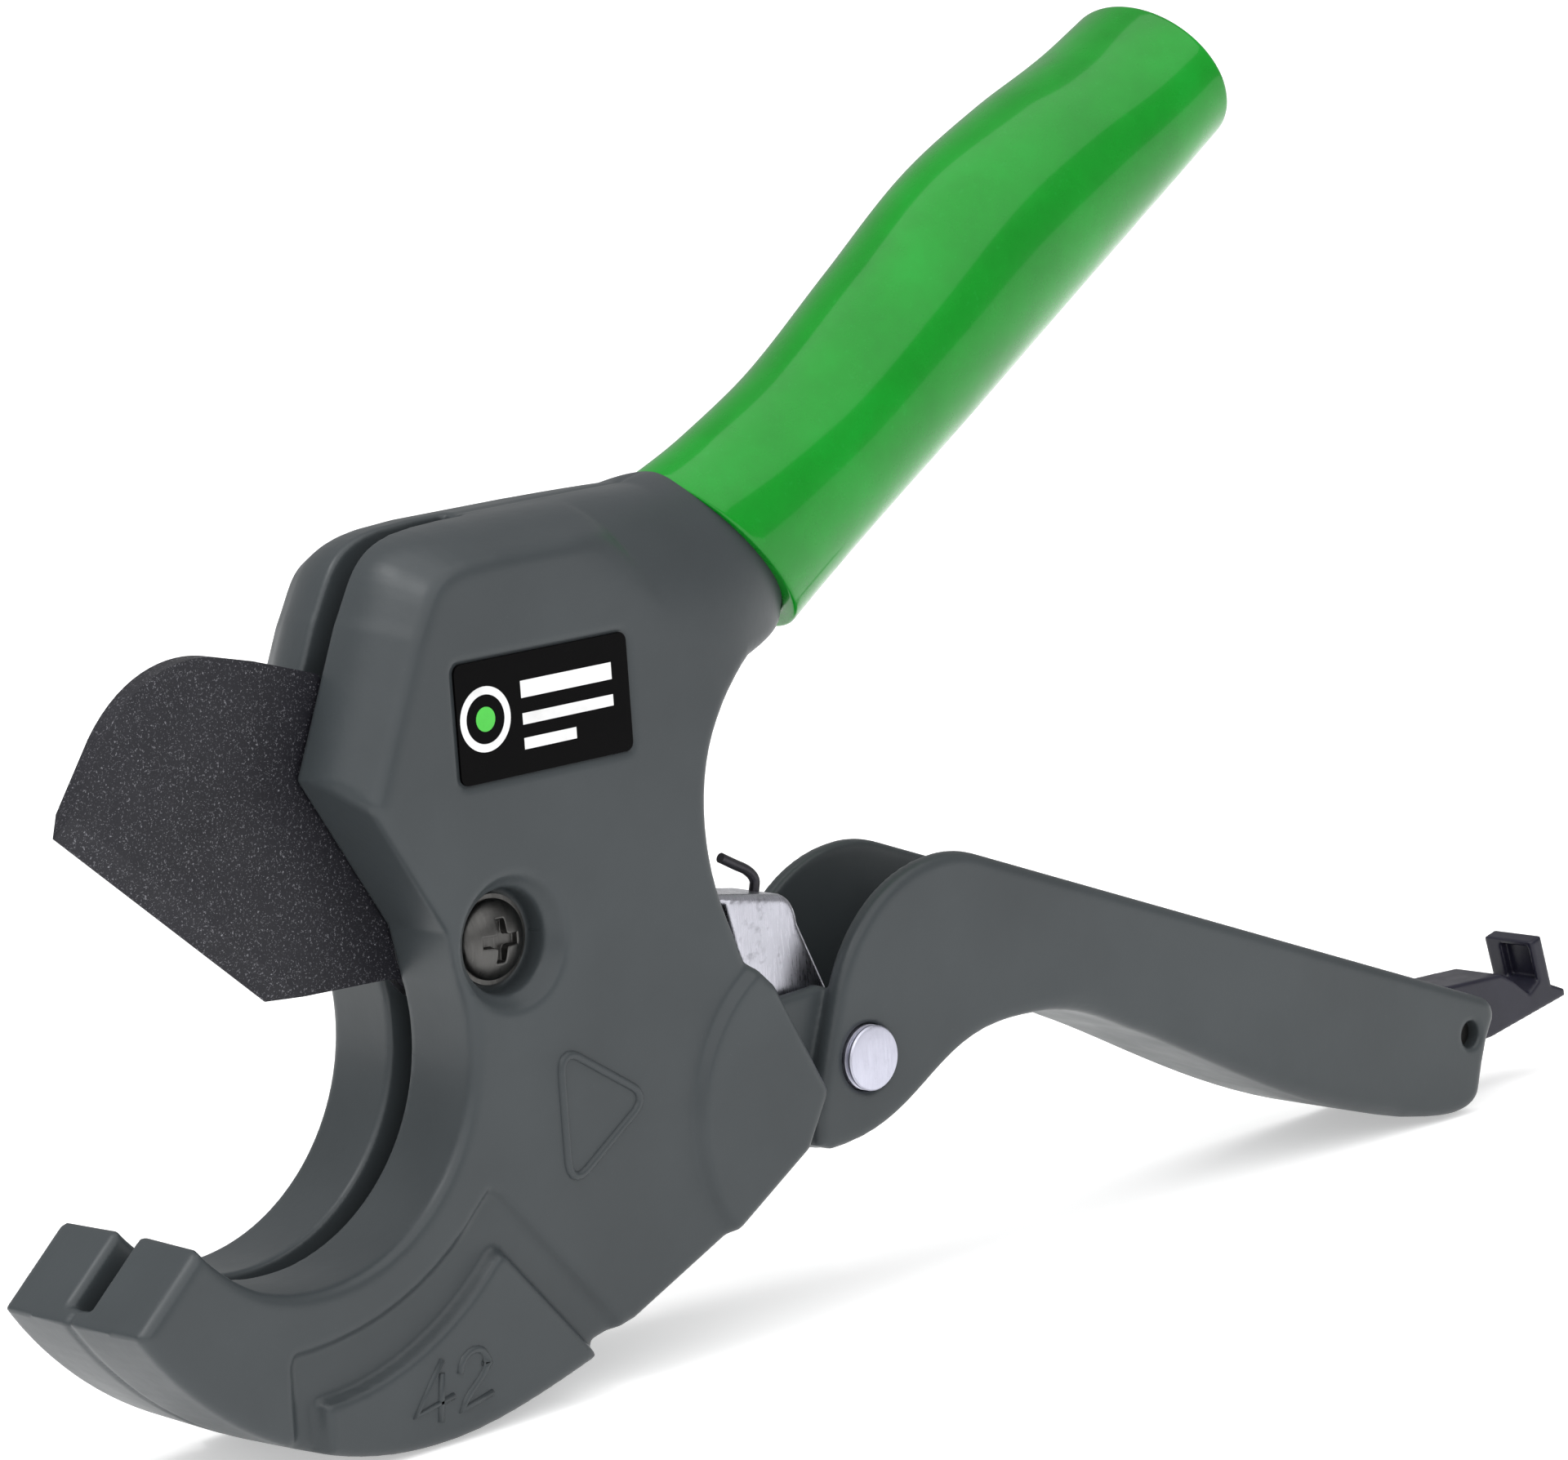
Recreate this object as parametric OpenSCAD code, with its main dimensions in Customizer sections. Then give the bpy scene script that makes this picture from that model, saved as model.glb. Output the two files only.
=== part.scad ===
// Ratcheting pipe cutter for plastic pipe up to 42 mm: cast hook jaw with a sleeved
// handle, pivoting blade with ratchet teeth, squeezing lever with drive pawl and latch.
// Origin: centre of the pipe seat on the mid plane. X runs from the jaw to the handles,
// Y across the tool, Z up. The tool stands on its jaw and on the end of its lever.

/* [Pipe seat] */
// radius of the pipe seat in the jaw
seat_r = 21.5; // [21.2:0.1:21.8]
// radius of the slot floor that takes the cutting edge
slot_r = 30; // [29:0.5:31]

/* [Body] */
// half of the thickness of the cast body
body_half = 11.8; // [11.4:0.1:12.4]
// width of the blade slot
slot_w = 3.1; // [3:0.1:3.4]
// height of the raised fields on the side faces
raise = 0.8; // [0.4:0.1:1]
// half of the channel between the rear cheeks
channel_half = 7; // [6.9:0.1:7.4]

/* [Blade] */
// thickness of the blade
blade_t = 2.5; // [2:0.1:2.5]
// outer radius of the ratchet teeth
tooth_r = 26; // [25.5:0.1:26]
// depth of one ratchet tooth
tooth_h = 2.2; // [1.5:0.1:2.6]
// angle from one ratchet tooth to the next
tooth_step = 9; // [9:3:12]
// width of the ground cutting bevel
bevel_w = 2.6; // [1.5:0.1:3]

/* [Lever] */
// half of the outside width of the lever
lever_half = 9.3; // [9.1:0.1:9.6]
// thickness of each lever side wall
lever_wall = 2.4; // [2:0.1:2.5]
// diameter of the lever pivot pin
lever_pin_d = 6; // [5:0.1:6.5]

/* [Pawl] */
// half of the outside width of the drive pawl
pawl_half = 4.4; // [4:0.1:4.5]
// sheet thickness of the drive pawl
pawl_t = 1.2; // [1:0.1:1.5]
// diameter of the drive pin through lever and pawl
drive_pin_d = 7.3; // [6.5:0.1:7.5]

/* [Grip] */
// length of the sleeve over the handle tang
grip_l = 85.6; // [82:0.1:87]
// slope of the handle above horizontal
grip_slope = 32.6; // [32:0.2:33]

/* [Latch] */
// width of the plastic latch
latch_w = 7.6; // [7:0.2:9]

/* [Hidden] */
$fn = 96;
eps = 0.01;
running = 0.05;
gap = 0.35;

blade_pivot = [28.2, 8.8];
lever_pivot = [62.5, -14];
drive_pin = [79.8, -14.1];
hold_pivot = [50.6, -21.4];
latch_pivot = [180.7, -31.8];
grip_at = [75.1, 45.8];
mouth_s = -5.3;
tang_d = 15.4;
label_at = [34.9, 32.4];
screw_floor = 7.25;
nut_floor = 7.4;

paint = [0.32, 0.345, 0.355];
steel = [0.72, 0.73, 0.76];
dark = [0.16, 0.16, 0.18];
zinc = [0.8, 0.8, 0.84];

// ---------- helpers ----------

// upright plate: the outline lies in X and Z, the plate runs from y0 to y1
module plate(y0, y1) {
  rotate([90, 0, 0])
    translate([0, 0, -y1])
      linear_extrude(height = y1 - y0)
        children();
}

// plate that is centred on the mid plane
module mid_plate(half) {
  plate(-half, half)
    children();
}

// round bar across the tool at point p, from y0 to y1
module bar(p, d, y0, y1) {
  translate([p[0], y0, p[1]])
    rotate([-90, 0, 0])
      cylinder(d = d, h = y1 - y0);
}

// cone across the tool at point p
module cone(p, d0, d1, y0, y1) {
  translate([p[0], y0, p[1]])
    rotate([-90, 0, 0])
      cylinder(d1 = d0, d2 = d1, h = y1 - y0);
}

module disc(p, r) {
  translate(p)
    circle(r = r);
}

function polar(c, r, a) = [c[0] + r * cos(a), c[1] + r * sin(a)];
function arc(c, r, a0, a1, n) = [for (i = [0:n]) polar(c, r, a0 + (a1 - a0) * i / n)];
function bez(p, q, r, s, n) =
  [for (i = [0:n]) let (t = i / n, u = 1 - t)
    u * u * u * p + 3 * u * u * t * q + 3 * u * t * t * r + t * t * t * s];

// ---------- body ----------

nose_top = [-15.3, -13.9];
nose_end = [-24, -21.6];
belly = [12.6, -41.6];
panel_corner = [35.6, -37.3];
seat_top = 15.5;

function hook_points() = concat(
  bez(nose_end, [-14, -31.8], [-2, -41.6], belly, 14),
  bez(belly, [20, -41.8], [28, -39.5], panel_corner, 5),
  [[36.1, -36.1], [41.5, -34.9], [57, -28.2], [67.6, -21.8]],
  arc([69.2, -15.6], 1.8, -35, 30, 4),
  [[64.2, -2.3], [61, 0.8]],
  bez([58.8, 6.5], [55.4, 15], [56, 28], [66, 32.5], 12),
  [[76.8, 34.6], [82, 42], [68, 62], [57.5, 52.6]],
  [[30, 52.3]],
  bez([25.5, 52], [18.5, 51.2], [18.2, 47.6], [15.6, 43.4], 6),
  [[9.2, 28.3], [19.6, 11.2]],
  arc([0, 0], seat_r, seat_top, -110, 44),
  bez(polar([0, 0], seat_r, -112), [-10.4, -18.7], [-13, -16.6], nose_top, 5)
);

// outline of the hook jaw, the head and the neck
module hook_outline() {
  polygon(hook_points());
}

// raised round field over the lever pivot
module boss_field() {
  intersection() {
    disc([70, -16.5], 17.2);
    polygon([[40, -40], [57.6, -28.1], [67.3, -22], [70.2, -16], [64, -2.7], [60, 1.2], [40, 12]]);
  }
}

// raised field for the size mark on the flank of the jaw
module size_field() {
  difference() {
    polygon(concat(
      bez([-2.6, -38.1], [2, -40.4], [7, -41.4], belly, 6),
      bez(belly, [20, -41.6], [28, -39.3], [35.2, -37], 5),
      [[23.5, -22.8], [22, -22.6]],
      bez([21, -23.2], [14, -30], [6, -32.4], [-2.2, -32.6], 6)
    ));
    translate([-4, -46])
      square([1.4, 13]);
  }
}

// inside of the head where the blade swings
module blade_room() {
  disc([0, 0], slot_r);
  disc(blade_pivot, tooth_r + 1);
  translate([-12, blade_pivot[1]])
    square([46.2, 60]);
}

// open channel between the rear cheeks for lever, pawl and springs
module channel_room() {
  polygon([[53.4, -40], [90, -40], [90, 30], [47, 30], [43.5, 22], [45.5, 8], [49.5, -4], [53.4, -12]]);
  disc(lever_pivot, 11);
}

// pocket for the holding pawl
module hold_room() {
  polygon([[46.5, -27], [56, -27], [56, -6], [47, -6], [42.6, -9.5], [44.6, -18]]);
}

grip_rows = [
  // share of the length, offset, half height, half width
  [0, 0.4, 12.6, 9.2],
  [0.085, -0.1, 11.8, 9.6],
  [0.225, -0.5, 11.1, 10.1],
  [0.41, 0, 11.6, 10.7],
  [0.6, 0.6, 12.1, 11],
  [0.765, 0, 11.3, 11.2],
  [0.905, -1, 10, 11.4],
  [1, -1.35, 9.5, 11.4]
];

// one thin oval slice across the handle axis
module slice(s, c, a, b) {
  translate([grip_at[0], 0, grip_at[1]])
    rotate([0, -grip_slope, 0])
      translate([s, 0, c])
        rotate([0, 90, 0])
          linear_extrude(height = 0.02)
            scale([a, b])
              circle(r = 1, $fn = 32);
}

// slice of the sleeve from one row of the table
module grip_slice(row) {
  slice(mouth_s + grip_l * row[0], row[1], row[2], row[3]);
}

// turns +Z into the handle axis, starting s along it
module along_handle(s) {
  translate([grip_at[0], 0, grip_at[1]])
    rotate([0, 90 - grip_slope, 0])
      translate([0, 0, s])
        children();
}

// round core of the handle inside the sleeve
module tang() {
  along_handle(mouth_s + 0.1)
    cylinder(d = tang_d, h = grip_l - 8.4);
}

// widening cone from the sleeve mouth, it rounds the neck of the casting
module neck_shape() {
  hull() {
    slice(mouth_s + 0.2, 0.4, 10.8, 8);
    slice(-140, -15, 175, 44);
  }
}

// sloped band 3.4 mm wide along the edge at p, starting 5.5 mm from the mid plane
module chamfer_block(p, a, l) {
  for (side = [-1, 1])
    translate([p[0], side * 5.5, p[1]])
      rotate([0, -a, 0])
        rotate([side * 28.4, 0, 0])
          translate([-l / 2, side > 0 ? 0 : -20, 0])
            cube([l, 20, 20]);
}

module body_casting() {
  color(paint)
    difference() {
      union() {
        intersection() {
          mid_plate(body_half)
            hook_outline();
          neck_shape();
        }
        mid_plate(body_half + raise)
          boss_field();
        mid_plate(body_half + raise)
          size_field();
        tang();
      }
      mid_plate(slot_w / 2)
        blade_room();
      mid_plate(channel_half)
        channel_room();
      mid_plate(3)
        hold_room();
      bar(blade_pivot, 6.2, -body_half - 1, body_half + 1);
      counterbore(screw_floor, 11.2);
      mirror([0, 1, 0])
        counterbore(nut_floor, 12);
      bar(lever_pivot, lever_pin_d, -9.6, body_half + raise + 1);
      bar(hold_pivot, 4, -8.5, 8.5);
      // sloped shoulders of the head
      chamfer_block([40, 52.3], 0, 46);
      chamfer_block([12.4, 35.7], 66.3, 40);
      plate(-body_half - 1, -body_half + 0.3)
        label_outline(0.2);
    }
}

// dished recess in the label side for the pivot screw, d wide and its floor at y
module counterbore(y, d) {
  cone(blade_pivot, 15.2, d, -body_half - eps, -body_half + 1.5);
  bar(blade_pivot, d, -body_half + 1.4, -y);
}

// ---------- fixed pieces ----------

module handle_grip() {
  color([0, 0.6, 0.22])
    difference() {
      for (i = [0:len(grip_rows) - 2])
        hull() {
          grip_slice(grip_rows[i]);
          grip_slice(grip_rows[i + 1]);
        }
      along_handle(mouth_s - 4)
        cylinder(d = tang_d + 0.2, h = grip_l - 4);
      mouth_room();
    }
}

// flared room in the sleeve mouth for the neck of the casting
module mouth_room() {
  hull() {
    slice(mouth_s - 0.3, 0.4, 11.2, 8.3);
    slice(5, 0, 8.2, 8);
  }
}

module label_outline(grow) {
  translate(label_at)
    polygon(concat(
      arc([10.9, 5.3], 1 + grow, 0, 90, 5),
      arc([-10.9, 5.3], 1 + grow, 90, 180, 5),
      arc([-10.9, -5.3], 1 + grow, 180, 270, 5),
      arc([10.9, -5.3], 1 + grow, 270, 360, 5)
    ));
}

module label_plate() {
  color([0.03, 0.03, 0.03])
    plate(-body_half - 0.05, -body_half + 0.3)
      label_outline(0);
}

module blade_pivot_screw() {
  color(dark)
    translate([blade_pivot[0], 0, blade_pivot[1]])
      rotate([90, 0, 0])
        difference() {
          rotate_extrude()
            polygon(concat(
              [[0, -10.6], [2.6, -10.6], [3, -10.2], [3, 7.97], [4.25, 7.97], [4.35, 8.1]],
              bez([4.35, 8.3], [3.7, 9.4], [2.2, 10.1], [0, 10.1], 7)
            ));
          // cross recess
          for (a = [0, 90])
            rotate([0, 0, a + 5])
              translate([-2.4, -0.55, 9])
                cube([4.8, 1.1, 4]);
        }
}

module pivot_spring_washer() {
  color(dark)
    difference() {
      bar(blade_pivot, 9.6, -screw_floor - 0.7, -screw_floor - eps);
      bar(blade_pivot, 6.3, -9, -6);
    }
}

module blade_pivot_bush() {
  color(steel)
    difference() {
      bar(blade_pivot, 9, -slot_w / 2, slot_w / 2);
      bar(blade_pivot, 6.1, -slot_w, slot_w);
    }
}

module blade_shims() {
  color(steel)
    for (side = [-1, 1])
      difference() {
        bar(blade_pivot, 15, side * 1.4 - 0.1, side * 1.4 + 0.1);
        bar(blade_pivot, 9.2, -3, 3);
      }
}

module blade_pivot_nut() {
  color(steel)
    translate([blade_pivot[0], nut_floor + eps, blade_pivot[1]])
      rotate([-90, 0, 0])
        difference() {
          cylinder(d = 11.2, h = 3.9, $fn = 6);
          translate([0, 0, -1])
            cylinder(d = 6.1, h = 7);
        }
}

module lever_pivot_pin() {
  color(steel)
    difference() {
      bar(lever_pivot, lever_pin_d - 0.04, -9.5, body_half + 2.2);
      difference() {
        bar(lever_pivot, 8, body_half + raise + 0.1, body_half + raise + 0.7);
        bar(lever_pivot, 4.6, body_half, body_half + 2);
      }
    }
}

module lever_pin_ring() {
  color(dark)
    difference() {
      bar(lever_pivot, 8.4, body_half + raise + 0.15, body_half + raise + 0.65);
      bar(lever_pivot, 4.7, body_half, body_half + 2);
    }
}

module holding_pawl_pin() {
  color(steel)
    bar(hold_pivot, 3.96, -8.4, 8.4);
}

// stop lever that keeps the blade from running back
module holding_pawl() {
  color(zinc)
    difference() {
      union() {
        bar(hold_pivot, 7.2, -1.2, 1.2);
        mid_plate(1.2)
          polygon([[48.2, -22.2], [45.3, -13.2], [46.3, -12.1], [48.6, -12.6], [53, -22.2]]);
      }
      bar(hold_pivot, 4.06, -3, 3);
    }
}

// bow spring that presses the stop lever towards the teeth
module holding_pawl_spring() {
  color(steel)
    mid_plate(1)
      polygon(concat(
        bez([52.4, -16.9], [53.6, -14.6], [53.6, -12], [52.9, -10.2], 6),
        bez([52.4, -10.2], [53, -12], [53, -14.6], [51.9, -16.7], 6)
      ));
}

// ---------- blade ----------

edge_tip = [-20.46, 27.35];
edge_heel = [4.2, 6];
edge_land = 0.1;

function tooth_points() = [
  for (a = [-66:tooth_step:30]) each [
    polar(blade_pivot, tooth_r - tooth_h, a),
    polar(blade_pivot, tooth_r, a + 1.2),
    polar(blade_pivot, tooth_r, a + 2.6)
  ]
];

module blade_outline() {
  polygon(concat(
    [edge_tip, edge_heel, [19.3, 5.5]],
    arc(blade_pivot, 7, 212, 262, 5),
    tooth_points(),
    arc(blade_pivot, tooth_r - 0.4, 42, 116, 10),
    [[13.6, 38.7], [11.7, 39.3], [5.4, 41.3]],
    bez([0.5, 42.5], [-4.2, 43.4], [-9.9, 41.9], [-14.2, 36.4], 14)
  ));
}

module blade() {
  edge_a = atan2(edge_heel[1] - edge_tip[1], edge_heel[0] - edge_tip[0]);
  grind_a = atan((blade_t / 2 - edge_land) / bevel_w);
  color(dark)
    difference() {
      mid_plate(blade_t / 2)
        difference() {
          blade_outline();
          disc(blade_pivot, 4.6);
        }
      // ground cutting bevel on both faces
      for (side = [-1, 1])
        translate([edge_tip[0], side * edge_land, edge_tip[1]])
          rotate([-side * grind_a, -edge_a, 0])
            translate([-6, side > 0 ? 0 : -8, -3])
              cube([42, 8, 9]);
    }
}

// ---------- lever ----------

function lever_top() = concat(
  bez([76.2, -6.5], [77.8, -0.5], [84, 6.2], [93.8, 6.2], 9),
  bez([93.8, 6.2], [96.6, 6.2], [98.4, 5.5], [100.6, 4.62], 4),
  arc([183, -30.1], 2.45, 68.6, -15, 5)
);
function lever_low() = concat(
  [[184.9, -31.5], [184, -33.1], [183, -35.8]],
  bez([182, -39.2], [180.6, -41.8], [176, -41.2], [168.8, -39.8], 6),
  bez([168.8, -39.8], [150, -35], [135, -25], [123.3, -19.8], 9),
  bez([123.3, -19.8], [115, -15.5], [110, -14.4], [103, -14.4], 6),
  bez([103, -14.4], [90, -14.4], [88, -23.4], [74, -23.4], 9)
);

module lever_outline() {
  polygon(concat(lever_top(), lever_low()));
}

// inside of the lever, open towards the handle and at the end where the latch folds down
module lever_room() {
  polygon(concat(
    [[60, -17], [60, 30], [200, 30], [200, -60], [180, -60], [179.8, -38]],
    bez([169.2, -37.1], [151.4, -32.5], [136.2, -22.8], [124.3, -17.4], 9),
    bez([124.3, -17.4], [116, -12.9], [110, -11.8], [103, -11.8], 6),
    bez([103, -11.8], [88.5, -11.8], [88, -20.8], [74, -20.8], 8)
  ));
}

// narrow front of the lever that enters between the cheeks
module tongue_outline() {
  polygon(concat(
    arc(lever_pivot, 7, 88, 235, 12),
    [[64, -21.6], [74, -23.4], [82, -22.6], [82, -8], [76, -5.4], [68, -5.8]]
  ));
}

module tongue_room() {
  polygon([[50, -18.4], [50, 2], [90, 2], [90, -20], [74, -20.4], [66, -18.6]]);
}

module lever() {
  color(paint)
    difference() {
      union() {
        difference() {
          mid_plate(lever_half)
            lever_outline();
          mid_plate(lever_half - lever_wall)
            lever_room();
        }
        difference() {
          mid_plate(channel_half - gap)
            tongue_outline();
          mid_plate(pawl_half + gap)
            tongue_room();
        }
      }
      bar(lever_pivot, lever_pin_d + 2 * running, -20, 20);
      bar(drive_pin, drive_pin_d, -20, 20);
      bar(latch_pivot, 3.3, -20, 20);
    }
}

module coil(p, r, wire, turns, half) {
  // closely wound coil shown as separate rings
  step = 2 * half / turns;
  for (i = [0:turns - 1])
    translate([p[0], -half + step * (i + 0.5), p[1]])
      rotate([90, 0, 0])
        rotate_extrude()
          translate([r, 0])
            circle(r = wire / 2, $fn = 24);
}

module rod(a, b, y, wire) {
  // straight wire leg in the plane at y
  l = norm(b - a);
  t = atan2(b[1] - a[1], b[0] - a[0]);
  translate([a[0], y, a[1]])
    rotate([0, 90 - t, 0])
      cylinder(d = wire, h = l, $fn = 24);
}

module lever_spring() {
  color(steel) {
    coil(lever_pivot, 3.95, 1, 7, 3.4);
    rod([62.5, -10.05], [55.5, -9.6], -2.9, 1);
    rod([62.5, -17.95], [69.5, -17.6], 2.9, 1);
  }
}

module drive_pin() {
  color(steel)
    translate([drive_pin[0], 0, drive_pin[1]])
      rotate([90, 0, 0])
        rotate_extrude()
          polygon([
            [0, -10.7], [3.1, -10.7], [3.65, -10.2], [3.65, -10], [3.1, -10], [3.1, -9.4], [3.65, -9.4],
            [3.65, 10.2], [3.3, 10.6], [0, 10.6]
          ]);
}

module drive_pin_ring() {
  color(dark)
    translate([drive_pin[0], 9.7, drive_pin[1]])
      rotate([90, 0, 0])
        rotate_extrude()
          translate([4.0, 0])
            square([1.4, 0.55], center = true);
}

// ---------- drive pawl ----------

module pawl_flange() {
  polygon(concat(
    arc(drive_pin, 5.2, -140, 35, 10),
    [[79.6, -7.6], [75.5, 1.3], [74.4, 4], [72.9, 5], [64.5, 6.2], [65.8, 0], [68.5, -8], [74.5, -17]]
  ));
}

module pawl_web() {
  polygon([
    [73.4, 3.9], [73.9, 5], [65, 6.7], [56.3, 8.2], [54.9, 7.6], [56, 6.9], [65, 5.4]
  ]);
}

module drive_pawl() {
  color(zinc)
    difference() {
      union() {
        for (side = [-1, 1])
          plate(side * (pawl_half - pawl_t / 2) - pawl_t / 2, side * (pawl_half - pawl_t / 2) + pawl_t / 2)
            pawl_flange();
        mid_plate(pawl_half)
          pawl_web();
      }
      bar(drive_pin, drive_pin_d + 2 * running, -20, 20);
      // hole for the spring leg
      translate([72, 0, 0])
        cylinder(d = 2.2, h = 10);
    }
}

module pawl_spring() {
  color(dark) {
    coil(drive_pin, 4.5, 1.1, 4, 2.1);
    rod([79.2, -9.6], [72.2, 0.6], 0, 1.1);
    rod([72.2, 0.6], [72, 7], 0, 1.1);
    rod([72, 7], [70.8, 8.9], 0, 1.1);
    rod([70.8, 8.9], [67.6, 10.2], 0, 1.1);
  }
}

// ---------- latch ----------

module latch_pin() {
  color(steel)
    bar(latch_pivot, 3.28, -lever_half + 1.9, lever_half - 1.9);
}

module latch_side() {
  polygon(concat(
    arc(latch_pivot, 3.4, 150, 262, 9),
    [[190.9, -34.8], [205.3, -32.3], [205.1, -31.4], [202.7, -30.4], [201.1, -23.9], [199, -24.4],
     [200.3, -29.4], [198.4, -30.7], [195.6, -28.6], [193.2, -27.3], [183.1, -26.9]]
  ));
}

module latch() {
  color([0.2, 0.2, 0.25])
    difference() {
      mid_plate(latch_w / 2)
        latch_side();
      // shallow recess in the catching face of the beak
      plate(-latch_w / 2 + 0.7, latch_w / 2 - 2.5)
        polygon([[197, -25], [200.35, -25], [201.4, -29.3], [197.5, -29.3]]);
      bar(latch_pivot, 3.28 + 2 * running, -20, 20);
    }
}

body_casting();
handle_grip();
label_plate();
blade_pivot_screw();
pivot_spring_washer();
blade_pivot_bush();
blade_shims();
blade_pivot_nut();
lever_pivot_pin();
lever_pin_ring();
holding_pawl_pin();
holding_pawl();
holding_pawl_spring();
blade();
lever();
lever_spring();
drive_pin();
drive_pin_ring();
drive_pawl();
pawl_spring();
latch_pin();
latch();
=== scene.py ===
"""Ratcheting pipe cutter: surfaces, materials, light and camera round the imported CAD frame.

Lengths are in millimetres until a mesh is built; the frame itself is in metres.
"""
import math

import bmesh
import bpy
import numpy as np
from mathutils import Matrix, Vector


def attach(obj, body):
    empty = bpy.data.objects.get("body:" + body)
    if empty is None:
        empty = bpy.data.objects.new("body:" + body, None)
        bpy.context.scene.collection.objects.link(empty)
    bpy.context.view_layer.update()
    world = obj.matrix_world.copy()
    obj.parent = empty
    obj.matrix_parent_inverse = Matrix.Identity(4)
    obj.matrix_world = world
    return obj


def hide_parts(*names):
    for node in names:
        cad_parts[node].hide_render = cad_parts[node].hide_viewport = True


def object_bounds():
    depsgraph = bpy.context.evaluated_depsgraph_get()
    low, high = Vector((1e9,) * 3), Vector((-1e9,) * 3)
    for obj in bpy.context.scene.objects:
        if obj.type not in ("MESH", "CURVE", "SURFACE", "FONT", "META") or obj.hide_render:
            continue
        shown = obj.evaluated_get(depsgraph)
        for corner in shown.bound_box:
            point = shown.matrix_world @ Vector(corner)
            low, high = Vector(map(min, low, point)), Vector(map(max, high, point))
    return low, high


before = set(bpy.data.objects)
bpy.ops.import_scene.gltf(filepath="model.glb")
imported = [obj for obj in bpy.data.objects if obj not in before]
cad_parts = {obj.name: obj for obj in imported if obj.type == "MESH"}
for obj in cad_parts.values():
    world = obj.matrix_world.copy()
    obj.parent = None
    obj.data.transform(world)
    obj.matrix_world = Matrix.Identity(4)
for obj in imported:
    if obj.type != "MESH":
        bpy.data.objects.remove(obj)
cad_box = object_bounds()

MM = 0.001

# ---------------------------------------------------------------- driving dimensions

SEAT_R = 21.5          # pipe seat
SLOT_R = 30.0          # slot floor round the pipe centre
SLOT_HALF = 1.55       # half width of the blade slot
BODY_HALF = 11.8       # mid plane to flank
RAISE = 0.8            # raised fields over the flank
CHANNEL_HALF = 7.0     # half width of the rear channel
TOOTH_R = 26.0         # toothed edge round the blade pivot
BLADE_PIVOT = (28.2, 8.8)
LEVER_PIVOT = (62.5, -14.0)
DRIVE_PIN = (79.8, -14.1)
LATCH_PIVOT = (180.7, -31.8)
BOSS_AT = (70, -16.5)  # raised round field over the lever pin
BOSS_R = 19.2
DISH_R = 7.6           # shallow dish round the screw recess
GRIP_AT = (75.1, 45.8)             # point on the handle axis that its lengths count from
GRIP_SLOPE = math.radians(32.6)
NECK_END = -4.9        # along the handle axis, next to the mouth of the sleeve
NECK_LENGTH = 18.4
LEVER_HALF = 9.3       # half widths and wall thicknesses of lever, pawl and latch
LEVER_WALL = 2.4
PAWL_HALF = 4.4
PAWL_T = 1.2
LATCH_HALF = 3.8


# ---------------------------------------------------------------- outlines in X and Z

def bez(p, q, r, s, n):
    """Cubic curve from p to s with handles q and r."""
    out = []
    for i in range(n + 1):
        t = i / n
        u = 1 - t
        out.append(tuple(u**3 * p[k] + 3 * u * u * t * q[k] + 3 * u * t * t * r[k] + t**3 * s[k]
                         for k in (0, 1)))
    return out


def polar(c, r, a):
    return (c[0] + r * math.cos(math.radians(a)), c[1] + r * math.sin(math.radians(a)))


def arc(c, r, a0, a1, n):
    return [polar(c, r, a0 + (a1 - a0) * i / n) for i in range(n + 1)]


NOSE_END = (-24.1, -21.5)
BELLY = (12.6, -41.6)
PANEL_CORNER = (35.6, -37.3)


def hook_outline():
    return (
        bez(NOSE_END, (-17.0, -32.6), (-3.4, -41.6), BELLY, 24)
        + bez(BELLY, (20, -41.8), (28, -39.5), PANEL_CORNER, 8)
        + [(36.1, -36.1), (41.5, -34.9), (57, -28.2), (67.6, -21.8)]
        + arc((69.2, -15.6), 1.8, -35, 30, 6)
        + [(64.2, -2.3), (61, 0.8)]
        + bez((58.8, 6.5), (55.4, 15), (56, 28), (66, 32.5), 18)
        + [(76.8, 34.6), (90, 43), (76, 70), (66, 56), (57.5, 52.6), (30, 52.3)]
        + bez((25.5, 52), (18.5, 51.2), (18.2, 47.6), (15.6, 43.4), 10)
        + [(9.2, 28.3), (19.6, 11.2)]
        + arc((0, 0), SEAT_R, 15.5, -110, 60)
        + bez(polar((0, 0), SEAT_R, -111), (-10.4, -18.8), (-12.8, -16.9), (-14.9, -14.5), 10)
        + [(-15.15, -14.1), (-15.5, -14.0), (-16.0, -14.3)]
    )


def head_edge():
    """Front and top edge of the head, run on far past the body elsewhere."""
    return ([(80, 52.4), (30, 52.3)]
            + bez((25.5, 52), (18.5, 51.2), (18.2, 47.6), (15.6, 43.4), 10)
            + [(9.2, 28.3), (-60, -12), (-60, -80), (120, -80), (120, 53)])


def size_panel():
    """Raised field for the size number."""
    return ([(-2.6, -50), (-2.6, -33.6)]
            + bez((-2.0, -32.8), (7, -32.9), (15.5, -28.8), (21.4, -22.9), 10)
            + [(22.4, -22.3), (23.6, -22.8), (35.4, -36.4), (48, -50)])


def sunk_zone():
    """Slightly sunk zone round the raised field."""
    return ([(-6.4, -50), (-5.9, -28.4)]
            + bez((-5.0, -27.0), (5, -27.2), (14, -24.0), (20.6, -17.0), 10)
            + [(22.3, -15.6), (24.2, -16.6), (38.6, -33.2), (46, -50)])


def channel():
    return [(53.4, -60), (110, -60), (110, 30), (47, 30), (43.5, 22), (45.5, 8), (49.5, -4), (53.4, -12)]


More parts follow.
